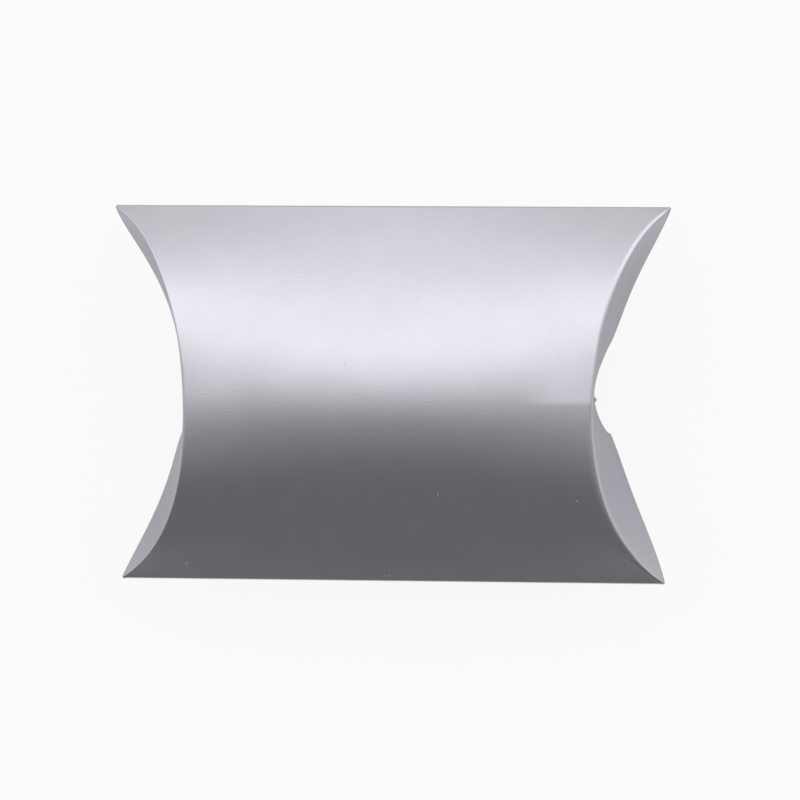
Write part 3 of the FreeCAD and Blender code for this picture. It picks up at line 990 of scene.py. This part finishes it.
class PILLOWBOX_OT_stage(bpy.types.Operator):
    """Set the floor, the light and the camera"""
    bl_idname = "pillowbox.stage"
    bl_label = "Stage"

    def execute(self, context):
        scene = context.scene
        look = scene.pillow_box_stage
        scene.view_settings.view_transform = "Standard"
        self.floor(scene, look)
        self.light(scene, look)
        self.camera(scene, look)
        return {"FINISHED"}

    def light(self, scene, look):
        """A soft dome of light, brightest above the crown and dim on the seam's side."""
        world = bpy.data.worlds.new("studio")
        world.use_nodes = True
        tree = world.node_tree
        place = add_node(tree, "ShaderNodeTexCoord")
        split = add_node(tree, "ShaderNodeSeparateXYZ")
        tree.links.new(place.outputs["Generated"], split.inputs[0])
        across = Field(tree, split.outputs["Y"])
        steep = across.smooth(*STEEP_STEP) * STEEP_SHARE
        broad = across.smooth(*BROAD_STEP) * (1 - STEEP_SHARE)
        fade = across.smooth(*FADE_STEP) * (look.crown_light - look.spine_light)
        dome = (steep + broad) * (look.crown_light - look.seam_light) + look.seam_light - fade
        path = add_node(tree, "ShaderNodeLightPath")
        strength = pick(Field(tree, path.outputs["Is Camera Ray"]), 1.0, dome)
        tree.links.new(strength.socket, tree.nodes["Background"].inputs["Strength"])
        tree.nodes["Background"].inputs["Color"].default_value = (1, 1, 1, 1)
        scene.world = world

    def floor(self, scene, look):
        """A floor that looks white from above and keeps the box's shadow."""
        paint = Paint("studio_floor")
        plain(paint, look.floor, FLOOR_TEXTURE)
        paint.set(Specular_IOR_Level=0.0)
        path = paint.add("ShaderNodeLightPath")
        seen = Field(paint.tree, path.outputs["Is Camera Ray"])
        glow = seen * look.floor_glow
        for label in ("Is Glossy Ray", "Is Transmission Ray"):
            glow = glow.at_least(Field(paint.tree, path.outputs[label]) * look.mirror_share)
        white = paint.add("ShaderNodeEmission")
        paint.join(pick(seen, 1.0, look.mirror_level).socket, white.inputs["Strength"])
        mixed = paint.add("ShaderNodeMixShader")
        paint.join(glow.socket, mixed.inputs[0])
        paint.join(paint.shader.outputs[0], mixed.inputs[1])
        paint.join(white.outputs[0], mixed.inputs[2])
        paint.join(mixed.outputs[0], paint.tree.nodes["Material Output"].inputs["Surface"])
        mesh = bpy.data.meshes.new("studio_floor")
        corners = [(x * FLOOR_REACH, y * FLOOR_REACH, 0) for x, y in ((-1, -1), (1, -1), (1, 1), (-1, 1))]
        mesh.from_pydata(corners, [], [(0, 1, 2, 3)])
        mesh.materials.append(paint.material)
        ground = bpy.data.objects.new("studio_floor", mesh)
        scene.collection.objects.link(ground)

    def camera(self, scene, look):
        """A camera that looks down on the front panel, with the spine fold at the top of the picture."""
        lens = bpy.data.cameras.new("camera")
        lens.lens = look.lens
        lens.sensor_width = SENSOR_WIDTH
        eye = bpy.data.objects.new("camera", lens)
        middle = Z_AXIS * (CAD_HIGH.z + CAD_LOW.z) / 2
        out = Vector((math.tan(look.lean_right), math.tan(look.lean_up), 1)).normalized()
        place = middle + out * look.distance
        back = (place - (middle + Vector(AIM))).normalized()
        right = Y_AXIS.cross(back).normalized()
        up = back.cross(right)
        eye.matrix_world = Matrix.Translation(place) @ Matrix((right, up, back)).transposed().to_4x4()
        scene.collection.objects.link(eye)
        scene.camera = eye


class PILLOWBOX_PT_panel(bpy.types.Panel):
    """Lists the steps and the settings of the pillow box"""
    bl_idname = "PILLOWBOX_PT_panel"
    bl_label = "Pillow Box"
    bl_space_type = "VIEW_3D"
    bl_region_type = "UI"
    bl_category = "Pillow Box"

    def draw(self, context):
        for step in STEPS:
            self.layout.operator(step.bl_idname)
        for label, group in SETTINGS:
            box = self.layout.box()
            box.label(text=group.__doc__)
            settings = getattr(context.scene, label)
            for entry in group.__annotations__:
                box.prop(settings, entry)


STEPS = (PILLOWBOX_OT_panels, PILLOWBOX_OT_outer_flaps, PILLOWBOX_OT_inner_flaps, PILLOWBOX_OT_long_folds,
         PILLOWBOX_OT_seam, PILLOWBOX_OT_stage)
SETTINGS = (("pillow_box_sizes", PillowBoxSizes), ("pillow_box_finish", PillowBoxFinish),
            ("pillow_box_stage", PillowBoxStage))
CLASSES = (PillowBoxSizes, PillowBoxFinish, PillowBoxStage, *STEPS, PILLOWBOX_PT_panel)


def register():
    for item in CLASSES:
        bpy.utils.register_class(item)
    for label, group in SETTINGS:
        setattr(bpy.types.Scene, label, PointerProperty(type=group))


def unregister():
    for label, _ in SETTINGS:
        delattr(bpy.types.Scene, label)
    for item in reversed(CLASSES):
        bpy.utils.unregister_class(item)


def main():
    register()
    bpy.ops.pillowbox.panels()
    bpy.ops.pillowbox.outer_flaps()
    bpy.ops.pillowbox.inner_flaps()
    bpy.ops.pillowbox.long_folds()
    bpy.ops.pillowbox.seam()
    bpy.ops.pillowbox.stage()


if __name__ == "__main__":
    main()
